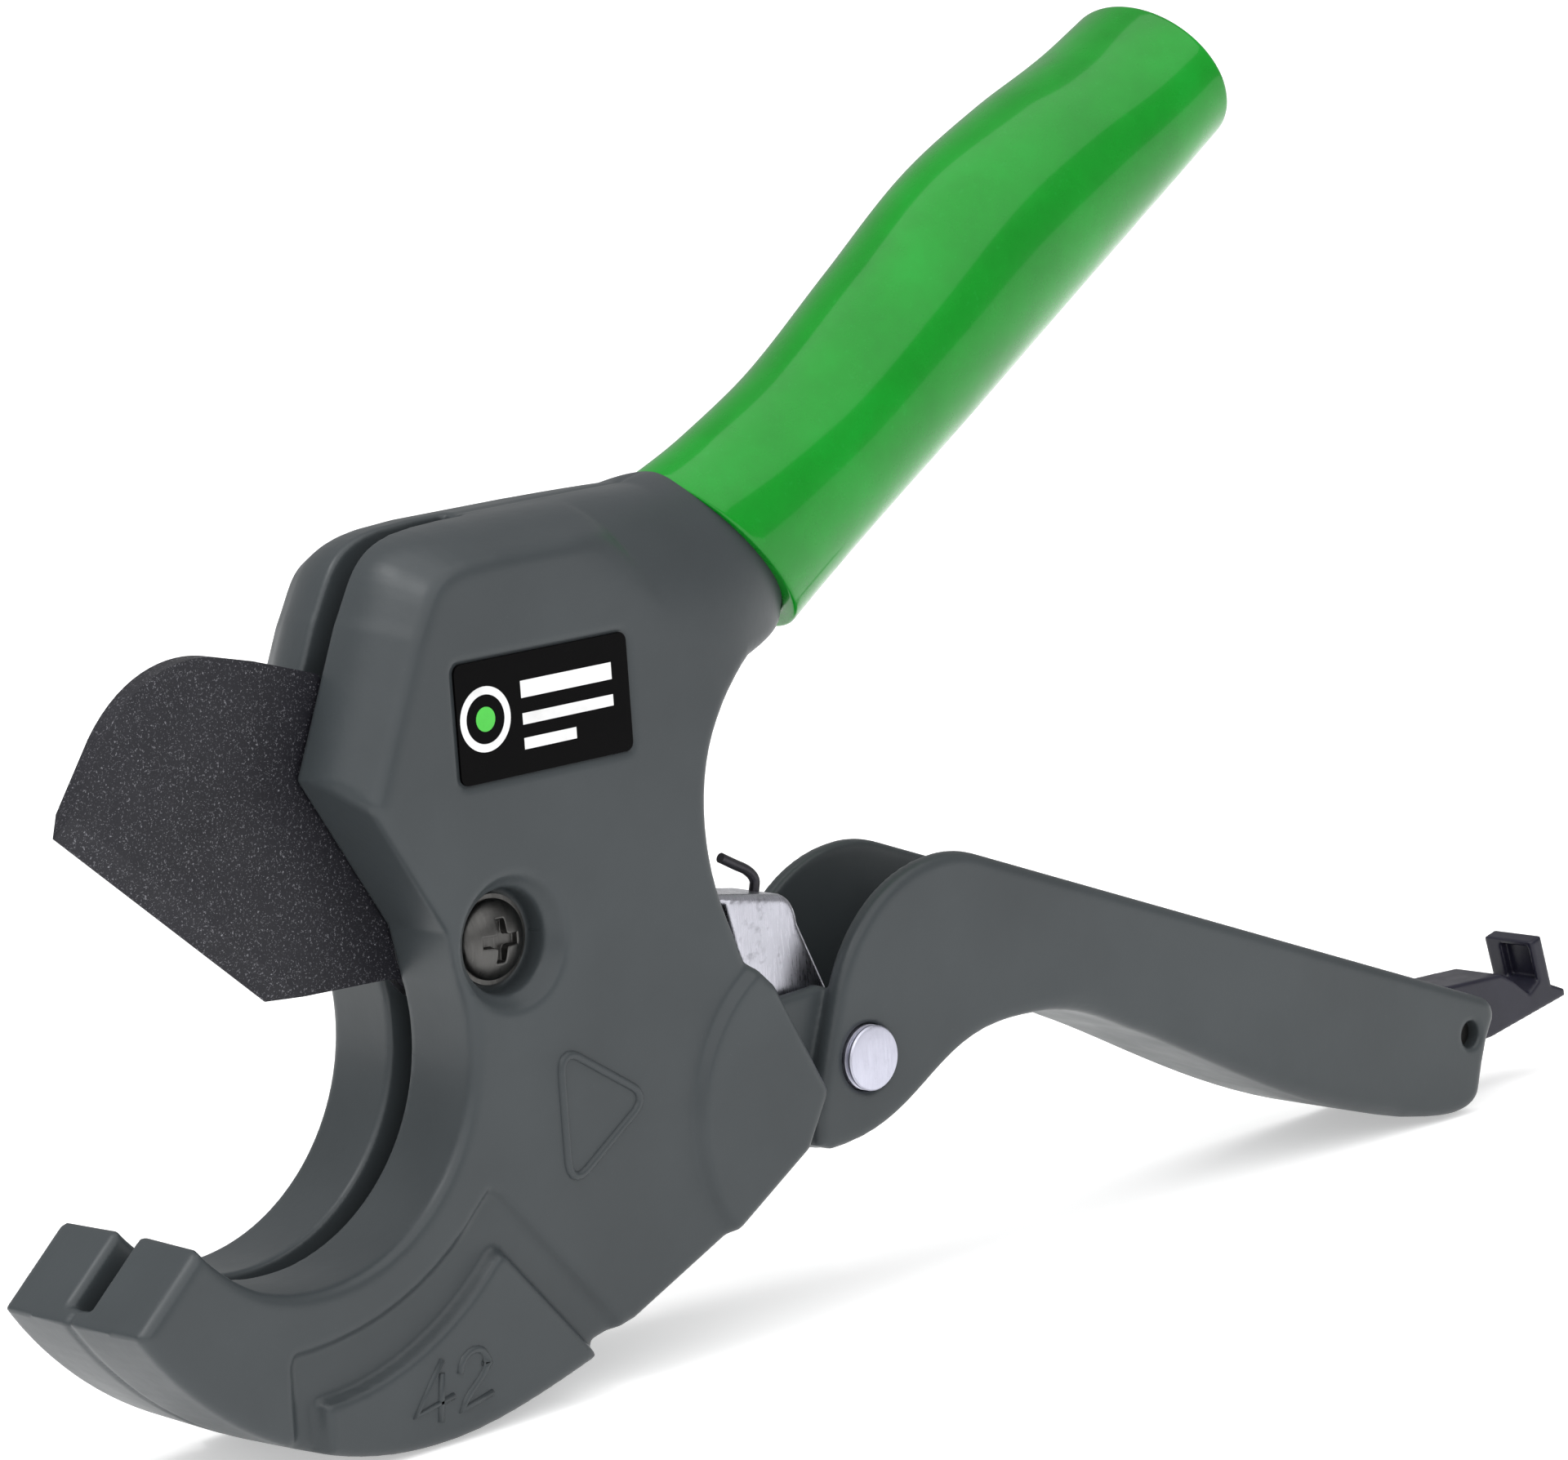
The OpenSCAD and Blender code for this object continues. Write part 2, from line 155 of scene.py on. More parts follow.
def lever_outline():
    return (bez((75.8, -7.2), (77.6, -0.6), (84, 6.2), (93.8, 6.2), 16)
            + bez((93.8, 6.2), (96.6, 6.2), (98.4, 5.5), (100.6, 4.62), 6)
            + arc((183, -30.1), 2.45, 68.6, -15, 8)
            + [(184.9, -31.5), (184, -33.1), (183, -35.8)]
            + bez((182, -39.2), (180.6, -41.8), (176, -41.2), (168.8, -39.8), 10)
            + bez((168.8, -39.8), (150, -35), (135, -25), (123.3, -19.8), 16)
            + bez((123.3, -19.8), (115, -15.5), (110, -14.4), (103, -14.4), 10)
            + bez((103, -14.4), (90, -14.4), (88, -23.4), (74, -23.4), 16)
            + [(71.8, -22.6), (71.6, -19)])


def lever_room():
    return ([(60, -17), (60, 40), (200, 40), (200, -60), (180, -60), (179.8, -38)]
            + bez((169.2, -37.1), (151.4, -32.5), (136.2, -22.8), (124.3, -17.4), 14)
            + bez((124.3, -17.4), (116, -12.9), (110, -11.8), (103, -11.8), 10)
            + bez((103, -11.8), (88.5, -11.8), (88, -20.8), (74, -20.8), 14))


def tongue():
    return (arc(LEVER_PIVOT, 7, 88, 235, 20)
            + [(64, -21.6), (74, -23.2), (82, -22.4), (82, -8), (76, -5.6), (68, -6)])


def tongue_room():
    return [(40, -18.4), (40, 12), (100, 12), (100, -20), (74, -20.4), (66, -18.6)]


def pawl_flange():
    return (arc(DRIVE_PIN, 5.2, -140, 35, 20)
            + [(79.6, -7.6)]
            + bez((75.5, 1.3), (75.3, 3.2), (74.6, 4.6), (72.9, 5.0), 6)
            + [(64.5, 6.2), (65.8, 0), (68.5, -8), (74.5, -17)])


def latch_side():
    return (arc(LATCH_PIVOT, 3.4, 150, 262, 12)
            + [(190.9, -34.8), (205.3, -32.3), (205.1, -31.4), (202.7, -30.4), (201.1, -23.9),
               (199.0, -24.4), (200.3, -29.4), (198.4, -30.7), (195.6, -28.6), (193.2, -27.3),
               (183.1, -26.9)])


LATCH_POCKET = [(196.5, -25.0), (200.35, -25.0), (201.4, -29.3), (197.5, -29.3)]


# ---------------------------------------------------------------- distance fields

def polygon_distance(X, Z, pts):
    """Signed distance to a closed outline, negative inside."""
    best = np.full(X.shape, 1e9)
    inside = np.zeros(X.shape, bool)
    for (ax, az), (bx, bz) in zip(pts, pts[1:] + pts[:1]):
        ex, ez = bx - ax, bz - az
        length_squared = ex * ex + ez * ez
        if length_squared < 1e-12:
            continue
        px, pz = X - ax, Z - az
        t = np.clip((px * ex + pz * ez) / length_squared, 0, 1)
        best = np.minimum(best, (px - t * ex)**2 + (pz - t * ez)**2)
        crosses = (az > Z) != (bz > Z)
        if ez != 0:
            inside ^= crosses & (X < ax + ex * (Z - az) / ez)
    d = np.sqrt(best)
    return np.where(inside, -d, d)


def both(a, b, r):
    """Intersection with a rounded convex edge of radius r."""
    u, v = np.maximum(a + r, 0), np.maximum(b + r, 0)
    return np.minimum(-r, np.maximum(a, b)) + np.sqrt(u * u + v * v)


def either(a, b, r):
    """Union with a rounded inner corner of radius r."""
    return -both(-a, -b, r)


def cut(a, b, r):
    """a without b, its new edges rounded by r."""
    return both(a, -b, r)


def blend(a, b, k):
    """Intersection of two faces that meet at a shallow angle, eased over k."""
    h = np.maximum(k - np.abs(a - b), 0) / k
    return np.maximum(a, b) + h * h * k / 4


def smooth(t):
    """Eased step from 0 at t = 0 to 1 at t = 1."""
    t = np.clip(t, 0, 1)
    return t * t * (3 - 2 * t)


def field_rise(distance, ramp):
    """0 outside an outline, eased up to 1 over the ramp's width inside it."""
    return smooth(-distance / ramp)


class Grid:
    """Regular samples of a box; 2-D fields over X and Z are lifted along Y."""

    def __init__(self, lo, hi, step):
        self.lo, self.step = lo, step
        self.x, self.y, self.z = (np.arange(lo[i], hi[i] + step, step) for i in range(3))
        self.X, self.Z = np.meshgrid(self.x, self.z, indexing="ij")
        self.Y = self.y[None, :, None]

    def poly(self, pts):
        return polygon_distance(self.X, self.Z, pts)[:, None, :]

    def disc(self, c, r):
        return (np.hypot(self.X - c[0], self.Z - c[1]) - r)[:, None, :]

    def around(self, c):
        return np.hypot(self.X - c[0], self.Z - c[1])[:, None, :]


def sample(field, p):
    """Field value between its samples at index positions p."""
    i = np.clip(np.floor(p).astype(int), 0, np.array(field.shape) - 2)
    f = p - i
    out = 0
    for dx in (0, 1):
        for dy in (0, 1):
            for dz in (0, 1):
                w = (np.abs(1 - dx - f[:, 0]) * np.abs(1 - dy - f[:, 1]) * np.abs(1 - dz - f[:, 2]))
                out = out + w * field[i[:, 0] + dx, i[:, 1] + dy, i[:, 2] + dz]
    return out


def surface(name, grid, field):
    """Mesh of the zero surface of a field: one vertex for each crossed cell."""
    field = np.ascontiguousarray(np.broadcast_to(field, (len(grid.x), len(grid.y), len(grid.z))))
    neg = field < 0
    n = np.array(field.shape) - 1
    corner = [neg[dx:dx + n[0], dy:dy + n[1], dz:dz + n[2]]
              for dx in (0, 1) for dy in (0, 1) for dz in (0, 1)]
    count = sum(c.astype(np.int8) for c in corner)
    cells = np.argwhere((count > 0) & (count < 8))
    index = np.full(n, -1, np.int64)
    index[tuple(cells.T)] = np.arange(len(cells))
    total = np.zeros((len(cells), 3))
    weight = np.zeros(len(cells))
    for axis in range(3):
        others = [k for k in range(3) if k != axis]
        for a in (0, 1):
            for b in (0, 1):
                start = np.zeros(3, int)
                start[others[0]], start[others[1]] = a, b
                end = start.copy()
                end[axis] = 1
                va = field[tuple((cells + start).T)]
                vb = field[tuple((cells + end).T)]
                hit = (va < 0) != (vb < 0)
                t = np.where(hit, va / np.where(hit, va - vb, 1), 0)
                p = (cells + start).astype(float)
                p[:, axis] += t
                total += p * hit[:, None]
                weight += hit
    verts = total / weight[:, None]
    for _ in range(3):
        value = sample(field, verts)
        grad = np.stack([sample(field, verts + d) - sample(field, verts - d)
                         for d in np.eye(3) * 0.5], 1)
        move = value[:, None] * grad / np.maximum((grad**2).sum(1), 1e-6)[:, None]
        size = np.sqrt((move**2).sum(1))[:, None]
        verts = verts - move * np.minimum(1, 0.5 / np.maximum(size, 1e-9))
    faces = []
    for axis in range(3):
        b, c = [k for k in range(3) if k != axis]
        lo = [slice(0, s) for s in field.shape]
        hi = [slice(0, s) for s in field.shape]
        lo[axis], hi[axis] = slice(0, -1), slice(1, None)
        change = neg[tuple(lo)] != neg[tuple(hi)]
        at = np.argwhere(change)
        at = at[(at[:, b] > 0) & (at[:, c] > 0) & (at[:, b] < n[b]) & (at[:, c] < n[c])]
        step_b, step_c = np.zeros(3, int), np.zeros(3, int)
        step_b[b], step_c[c] = 1, 1
        quad = np.stack([index[tuple(q.T)] for q in
                         (at - step_b - step_c, at - step_c, at, at - step_b)], 1)
        flip = neg[tuple(at.T)]
        if axis == 1:
            flip = ~flip
        quad[~flip] = quad[~flip][:, ::-1]
        faces.append(quad)
    faces = np.concatenate(faces)
    verts = (verts * grid.step + np.array(grid.lo)) * MM
    mesh = bpy.data.meshes.new(name)
    mesh.vertices.add(len(verts))
    mesh.vertices.foreach_set("co", verts.astype(np.float32).ravel())
    mesh.loops.add(faces.size)
    mesh.loops.foreach_set("vertex_index", faces.astype(np.int32).ravel())
    mesh.polygons.add(len(faces))
    mesh.polygons.foreach_set("loop_start", np.arange(0, faces.size, 4, dtype=np.int32))
    mesh.polygons.foreach_set("use_smooth", np.ones(len(faces), bool))
    mesh.update(calc_edges=True)
    mesh.validate()
    obj = bpy.data.objects.new(name, mesh)
    bpy.context.collection.objects.link(obj)
    return obj


# ---------------------------------------------------------------- materials

class Shade:
    """Small helper round a node tree that feeds one Principled shader."""

    def __init__(self, name, **shader):
        self.mat = bpy.data.materials.new(name)
        self.mat.use_nodes = True
        self.tree = self.mat.node_tree
        self.bsdf = self.tree.nodes["Principled BSDF"]
        for key, value in shader.items():
            self.bsdf.inputs[key.replace("_", " ")].default_value = value
        self.coord = self.tree.nodes.new("ShaderNodeTexCoord").outputs["Object"]
        self.height = None

    def node(self, kind, **values):
        n = self.tree.nodes.new(kind)
        for key, value in values.items():
            if hasattr(n, key):
                setattr(n, key, value)
            else:
                n.inputs[key.replace("_", " ")].default_value = value
        return n

    def link(self, a, b):
        self.tree.links.new(a, b)

    def stretched(self, scale, turn=(0, 0, 0)):
        m = self.node("ShaderNodeMapping")
        m.inputs["Scale"].default_value = scale
        m.inputs["Rotation"].default_value = turn
        self.link(self.coord, m.inputs["Vector"])
        return m.outputs["Vector"]

    def noise(self, scale, detail=3.0, rough=0.55, vector=None):
        n = self.node("ShaderNodeTexNoise", Scale=scale, Detail=detail, Roughness=rough)
        self.link(vector or self.coord, n.inputs["Vector"])
        return n.outputs["Fac"]

    def ramp(self, fac, stops):
        r = self.node("ShaderNodeValToRGB")
        el = r.color_ramp.elements
        while len(el) < len(stops):
            el.new(0.5)
        for e, (pos, col) in zip(el, stops):
            e.position = pos
            e.color = (*col, 1)
        self.link(fac, r.inputs["Fac"])
        return r.outputs["Color"]

    def grey(self, fac, stops):
        return self.ramp(fac, [(p, (v, v, v)) for p, v in stops])

    def mix(self, fac, a, b):
        m = self.node("ShaderNodeMix", data_type="RGBA")
        for value, key in ((fac, 0), (a, 6), (b, 7)):
            if hasattr(value, "links"):
                self.link(value, m.inputs[key])
            elif key == 0:
                m.inputs[key].default_value = value
            else:
                m.inputs[key].default_value = (*value, 1)
        return m.outputs[2]

    def math(self, op, a, b=0.0):
        m = self.node("ShaderNodeMath", operation=op)
        for value, key in ((a, 0), (b, 1)):
            if hasattr(value, "links"):
                self.link(value, m.inputs[key])
            else:
                m.inputs[key].default_value = value
        return m.outputs[0]

    def color(self, out):
        self.link(out, self.bsdf.inputs["Base Color"])

    def rough(self, out):
        self.link(out, self.bsdf.inputs["Roughness"])

    def bump(self, fac, strength, depth):
        b = self.node("ShaderNodeBump", Strength=strength, Distance=depth)
        self.link(fac, b.inputs["Height"])
        if self.height is not None:
            self.link(self.height, b.inputs["Normal"])
        self.height = b.outputs["Normal"]
        self.link(self.height, self.bsdf.inputs["Normal"])


def paint_material(name, base):
    """Satin enamel over a casting: faint orange peel, dust specks and cloudy gloss."""
    s = Shade(name, Specular_IOR_Level=0.33)
    cloud = s.noise(45, 4)
    speck = s.grey(s.noise(2600, 2, 0.6), [(0.68, 0), (0.74, 1)])
    dark, light = tuple(c * 0.93 for c in base), tuple(c * 1.08 for c in base)
    tone = s.ramp(cloud, [(0.35, dark), (0.65, light)])
    s.color(s.mix(s.math("MULTIPLY", speck, 0.10), tone, tuple(c * 2.2 for c in base)))
    s.rough(s.grey(s.noise(120, 5, 0.6), [(0.3, 0.34), (0.7, 0.43)]))
    s.bump(s.noise(520, 3), 0.05, 0.0004)
    s.bump(s.noise(2400, 2), 0.06, 0.00008)
    return s.mat


def grip_material():
    """Dipped green sleeve: glossy, softly mottled, with shallow waves along it."""
    s = Shade("grip_green", Specular_IOR_Level=0.15, Coat_Weight=0.45, Coat_Roughness=0.09)
    mottle = s.noise(70, 6, 0.6)
    tone = s.ramp(mottle, [(0.3, (0.0, 0.19, 0.008)), (0.55, (0.0, 0.24, 0.011)),
                           (0.78, (0.0, 0.29, 0.018))])
    speck = s.grey(s.noise(1500, 2), [(0.66, 0), (0.72, 1)])
    s.color(s.mix(s.math("MULTIPLY", speck, 0.12), tone, (0.02, 0.38, 0.06)))
    s.rough(s.grey(s.noise(160, 6, 0.65), [(0.3, 0.2), (0.7, 0.36)]))
    along = s.stretched((26, 60, 60), (0, GRIP_SLOPE, 0))
    s.bump(s.noise(1.0, 3, 0.5, along), 0.35, 0.0012)
    s.bump(s.noise(700, 3), 0.05, 0.0003)
    return s.mat


def blade_material():
    """Dark coated steel with a fine bright grain."""
    s = Shade("blade_dark", Metallic=0.2, Specular_IOR_Level=0.4)
    grain = s.grey(s.noise(3100, 3, 0.7), [(0.60, 0), (0.70, 1)])
    fine = s.grey(s.noise(5200, 2, 0.6), [(0.62, 0), (0.72, 1)])
    both_grains = s.math("MAXIMUM", grain, s.math("MULTIPLY", fine, 0.7))
    cloud = s.ramp(s.noise(55, 4), [(0.3, (0.008, 0.0078, 0.0115)), (0.7, (0.013, 0.0128, 0.018))])
    s.color(s.mix(s.math("MULTIPLY", both_grains, 0.5), cloud, (0.42, 0.42, 0.46)))
    s.rough(s.grey(s.noise(300, 4), [(0.3, 0.42), (0.7, 0.55)]))
    s.bump(s.noise(2300, 3, 0.7), 0.12, 0.00012)
    return s.mat


def metal_material(name, base, rough, scratch_turn=(0, 0, 0), spots=0.0, metallic=1.0):
    """Plated or ground steel with fine scratches, clouds and a few dull spots."""
    s = Shade(name, Metallic=metallic)
    lines = s.noise(1.0, 3, 0.6, s.stretched((6000, 400, 400), scratch_turn))
    cloud = s.noise(260, 5, 0.6)
    dull = tuple(c * 0.62 for c in base)
    tone = s.ramp(cloud, [(0.3, tuple(c * 0.88 for c in base)), (0.7, base)])
    if spots:
        spot = s.grey(s.noise(420, 4, 0.7), [(0.56, 0), (0.66, spots)])
        tone = s.mix(spot, tone, dull)
    s.color(tone)
    s.rough(s.grey(lines, [(0.3, rough * 0.75), (0.7, rough * 1.3)]))
    s.bump(lines, 0.08, 0.00006)
    s.bump(s.noise(900, 3), 0.06, 0.0001)
    return s.mat


def plastic_material(name, base, rough, speck=0.1, shine=0.5):
    """Moulded plastic with faint flow clouds and fine texture."""
    s = Shade(name, Specular_IOR_Level=shine)
    tone = s.ramp(s.noise(180, 5), [(0.3, tuple(c * 0.85 for c in base)),
                                    (0.7, tuple(c * 1.15 for c in base))])
    dots = s.grey(s.noise(2200, 2), [(0.66, 0), (0.74, 1)])
    s.color(s.mix(s.math("MULTIPLY", dots, speck), tone, tuple(min(1, c * 3 + 0.02) for c in base)))
    s.rough(s.grey(s.noise(350, 4), [(0.3, rough * 0.85), (0.7, rough * 1.15)]))
    s.bump(s.noise(1500, 3), 0.08, 0.00008)
    return s.mat


PAINT = (0.041, 0.048, 0.052)
mats = {
    "paint": paint_material("cast_grey", PAINT),
    "grip": grip_material(),
    "blade": blade_material(),
    "zinc": metal_material("zinc_sheet", (0.50, 0.50, 0.555), 0.3, (0, 0.3, 0), 0.75),
    "pin": metal_material("pin_steel", (0.60, 0.60, 0.70), 0.42, (0.2, 0, 0.4), 0.2),
    "steel": metal_material("ground_steel", (0.55, 0.55, 0.57), 0.32),
    "black_steel": metal_material("black_oxide", (0.10, 0.098, 0.095), 0.36, (0, 0, 0), 0.3),
    "wire": metal_material("black_wire", (0.045, 0.043, 0.05), 0.34, (0, 0, 0), 0.2, 0.7),
    "latch": plastic_material("latch_plastic", (0.013, 0.0125, 0.023), 0.34, 0.1, 0.3),
    "label": plastic_material("label_black", (0.0006, 0.0005, 0.0007), 0.3, 0.0, 0.05),
    "white": plastic_material("label_white", (0.80, 0.80, 0.80), 0.4, 0.02),
    "green_ink": plastic_material("label_green", (0.06, 0.55, 0.05), 0.4, 0.02),
}


def finish_piece(obj, mat, body, nodes=()):
    obj.data.materials.clear()
    obj.data.materials.append(mats[mat])
    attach(obj, body)
    if nodes:
        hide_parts(*nodes)
    return obj


# ---------------------------------------------------------------- body casting

def body_casting():
    step = 0.4
    g = Grid((-27, -13.6, -44), (91, 13.6, 64), step)
    depth = np.abs(g.Y)
    outline = g.poly(hook_outline())
    # flank height over the mid plane, with its raised and sunk fields
    boss_rise, sunk_depth, panel_rise, dish_depth = RAISE + 0.3, 0.85, 1.75, 1.5
    flank = BODY_HALF + boss_rise * field_rise(g.disc(BOSS_AT, BOSS_R), 1.4)
    flank = flank - sunk_depth * field_rise(g.poly(sunk_zone()), 1.4)
    flank = flank + panel_rise * field_rise(g.poly(size_panel()), 1.1)
    flank = flank - dish_depth * field_rise(g.disc(BLADE_PIVOT, DISH_R), 1.9)
    wall = outline + 0.03 * depth + 0.26 * np.exp(-(g.Y / 0.45)**2)
    body = both(wall, depth - flank, 1.3)
    # sloped shoulders of the head
    shoulder = 0.88 * g.poly(head_edge()) + 0.475 * (depth - 5.5)
    body = blend(body, shoulder, 1.2)
    # neck that narrows to the oval handle: s along its axis, t across, k grows from 0 towards the head
    s = ((g.X - GRIP_AT[0]) * math.cos(GRIP_SLOPE) + (g.Z - GRIP_AT[1]) * math.sin(GRIP_SLOPE))[:, None, :]
    t = ((g.Z - GRIP_AT[1]) * math.cos(GRIP_SLOPE) - (g.X - GRIP_AT[0]) * math.sin(GRIP_SLOPE))[:, None, :]
    k = np.maximum((NECK_END - s) / NECK_LENGTH, -0.12)
    high = 10.8 + 16.7 * k + 60 * np.maximum(k - 0.9, 0)
    wide = 8.0 + 5.0 * k
    off = 0.4 * (1 - k)
    neck = (np.sqrt(((t - off) / high)**2 + (g.Y / wide)**2) - 1) * np.minimum(wide, high) * 0.9
    body = blend(body, neck, 1.5)
    # recesses of the screw head at -Y and of the nut at +Y
    recess_floor = np.where(g.Y < 0, 7.25, 7.4)
    recess_r = np.where(g.Y < 0, 5.6, 6.0)
    body = cut(body, both(g.around(BLADE_PIVOT) - recess_r, recess_floor - depth, 0.3), 0.5)
    # blade slot, rear channel and lever pin bore
    room = np.minimum(g.disc((0, 0), SLOT_R), g.disc(BLADE_PIVOT, TOOTH_R + 1))
    room = np.minimum(room, g.poly([(-14, 8.8), (34.2, 8.8), (34.2, 70), (-14, 70)]))
    lips = 0.5 + 0.5 * smooth((-6 - g.X) / 8)[:, None, :]
    body = cut(body, both(room, depth - SLOT_HALF, 0.2), lips)
    body = cut(body, both(g.poly(channel()), depth - CHANNEL_HALF, 0.8), 0.6)
    body = cut(body, both(g.disc(LEVER_PIVOT, 3.0), -9.6 - g.Y, 0.1), 0.3)
    # shallow seat of the label, on one side only
    label = both(g.poly(label_outline(0.35)), g.Y + BODY_HALF - 0.3, 0.05)
    body = cut(body, label, 0.15)
    return surface("body_shell", g, body)


def label_outline(grow=0.0):
    cx, cz, w, h, r = 34.7, 32.4, 11.9, 6.35, 1.0
    out = []
    for sx, sz, a in ((1, 1, 0), (-1, 1, 90), (-1, -1, 180), (1, -1, 270)):
        out += arc((cx + sx * (w - r), cz + sz * (h - r)), r + grow, a, a + 90, 6)
    return out


# ---------------------------------------------------------------- lever, pawl and latch

def lever_casting():
    step = 0.42
    g = Grid((53, -10.2, -43), (187, 10.2, 8.5), step)
    depth = np.abs(g.Y)
    # the long lower edge is rounded more than the rest
    low = smooth((-6.7 - 0.41 * (g.X - 110) - g.Z) / 5)
    soft = (1.2 + 1.2 * low * smooth((g.X - 104) / 14) * smooth((176 - g.X) / 10))[:, None, :]
    shell = both(g.poly(lever_outline()), depth - LEVER_HALF, soft)
    shell = cut(shell, both(g.poly(lever_room()), depth - (LEVER_HALF - LEVER_WALL), 1.2), 0.7)
    front = both(g.poly(tongue()), depth - (CHANNEL_HALF - 0.35), 0.7)
    front = cut(front, both(g.poly(tongue_room()), depth - (PAWL_HALF + 0.35), 0.4), 0.4)
    lever = either(shell, front, 0.8)
    # bores of the drive pin, the lever pin and the latch pin
    lever = cut(lever, both(g.disc(DRIVE_PIN, 3.75), -depth, 0.1), 0.25)
    lever = cut(lever, g.disc(LEVER_PIVOT, 3.05) + 0 * g.Y, 0.3)
    lever = cut(lever, g.disc(LATCH_PIVOT, 1.65) + 0 * g.Y, 0.3)
    return surface("lever_shell", g, lever)


def drive_pawl():
    step = 0.22
    g = Grid((53.5, -5, -20), (86, 5, 10), step)
    depth = np.abs(g.Y)
    flange = g.poly(pawl_flange())
    web = g.poly([(74.6, 2.6), (73.4, 4.9), (65, 6.4), (56.3, 8.1), (54.9, 7.5), (56, 6.9), (65, 5.1),
                  (72.6, 3.7)])
    outer = both(np.minimum(flange, web), depth - PAWL_HALF, 0.9)
    inner = both(flange + PAWL_T, depth - (PAWL_HALF - PAWL_T), 0.5)
    open_side = both(g.poly([(40, -30), (90, -30), (90, 1.4), (73, 3.4), (65, 5.0), (40, 9)]),
                     depth - (PAWL_HALF - PAWL_T), 0.5)
    pawl = cut(outer, np.minimum(inner, open_side), 0.15)
    pawl = cut(pawl, g.disc(DRIVE_PIN, 3.7) + 0 * g.Y, 0.12)
    return surface("pawl_sheet", g, pawl)


def latch():
    step = 0.24
    g = Grid((176, -4.6, -37), (206.4, 4.6, -22.5), step)
    depth = np.abs(g.Y)
    body = both(g.poly(latch_side()), depth - LATCH_HALF, 0.35)
    body = cut(body, both(g.poly(LATCH_POCKET), np.abs(g.Y + 0.9) - 2.2, 0.2), 0.2)
    body = cut(body, g.disc(LATCH_PIVOT, 1.69) + 0 * g.Y, 0.1)
    return surface("latch_hook", g, body)


# ---------------------------------------------------------------- plain meshes

def mesh_object(name, verts, faces, smooth_faces=True):
    mesh = bpy.data.meshes.new(name)
    mesh.from_pydata([tuple(c * MM for c in v) for v in verts], [], faces)
    mesh.update()
    for p in mesh.polygons:
        p.use_smooth = smooth_faces
    obj = bpy.data.objects.new(name, mesh)
    bpy.context.collection.objects.link(obj)
    bm = bmesh.new()
    bm.from_mesh(mesh)
    bmesh.ops.recalc_face_normals(bm, faces=bm.faces)
    bm.to_mesh(mesh)
    bm.free()
    return obj


# place along the handle axis, offset across it, half height and half width of each oval
GRIP_ROWS = [(-5.8, 0.5, 12.8, 9.3), (2, -0.1, 11.8, 9.6), (14, -0.5, 11.1, 10.1), (30, 0, 11.6, 10.7),
             (46, 0.6, 12.1, 11), (60, 0, 11.3, 11.2), (72, -1, 10, 11.4), (80.3, -1.35, 9.5, 11.4)]


def grip_sleeve():
    """Sleeve lofted over oval rows, with a rolled mouth and a rounded closed end."""
    rows = np.array(GRIP_ROWS)
    around = 96
    start, end = rows[0, 0], rows[-1, 0]

    def row(s):
        """Smooth offset, half height and half width at s."""
        out = []
        for col in (1, 2, 3):
            i = int(np.clip(np.searchsorted(rows[:, 0], s) - 1, 0, len(rows) - 2))
            s0, s1 = rows[i, 0], rows[i + 1, 0]
            v = rows[:, col]
            m0 = (v[i + 1] - v[max(i - 1, 0)]) / (rows[i + 1, 0] - rows[max(i - 1, 0), 0])
            j = min(i + 2, len(rows) - 1)
            m1 = (v[j] - v[i]) / (rows[j, 0] - rows[i, 0])
            t = np.clip((s - s0) / (s1 - s0), 0, 1)
            h = s1 - s0
            out.append((2 * t**3 - 3 * t**2 + 1) * v[i] + (t**3 - 2 * t**2 + t) * h * m0
                       + (3 * t**2 - 2 * t**3) * v[i + 1] + (t**3 - t**2) * h * m1)
        return out

    wall, lip, end_r = 1.9, 0.4, 0.8
    # place along the axis and growth of the oval, from inside the mouth to the closed end
    stations = [(start + 9, -wall - 0.6), (start + 3, -wall), (start + lip, -wall)]
    stations += [(start + lip - lip * math.sin(a), -wall + lip - lip * math.cos(a))
                 for a in np.linspace(0.25, math.pi / 2, 4)]
    stations += [(start + lip - lip * math.sin(a), -lip + lip * math.cos(a))
                 for a in np.linspace(math.pi / 2, 0.0, 5)]
    stations += [(s, 0) for s in np.linspace(start + 1.2, end - end_r, 110)]
    stations += [(end - end_r + end_r * math.sin(a), -end_r + end_r * math.cos(a))
                 for a in np.linspace(0.2, math.pi / 2, 6)]
    stations += [(end, -4.0), (end, -7.0)]
    verts, faces = [], []
    cs, sn = math.cos(GRIP_SLOPE), math.sin(GRIP_SLOPE)
    for s, grow in stations:
        off, high, wide = row(min(max(s, start), end))
        for i in range(around):
            a = 2 * math.pi * i / around
            t, y = off + (high + grow) * math.cos(a), (wide + grow) * math.sin(a)
            # both ends are cut slightly askew
            q = s - 0.17 * t * float(smooth((12 - s) / 18)) + 0.07 * (t + 10) * float(smooth((s - 64) / 16))
            verts.append((GRIP_AT[0] + q * cs - t * sn, y, GRIP_AT[1] + q * sn + t * cs))
    for r in range(len(stations) - 1):
        for i in range(around):
            j = (i + 1) % around
            faces.append((r * around + i, r * around + j, (r + 1) * around + j, (r + 1) * around + i))
    faces.append(tuple((len(stations) - 1) * around + i for i in range(around)))
    return mesh_object("grip_sleeve", verts, faces)


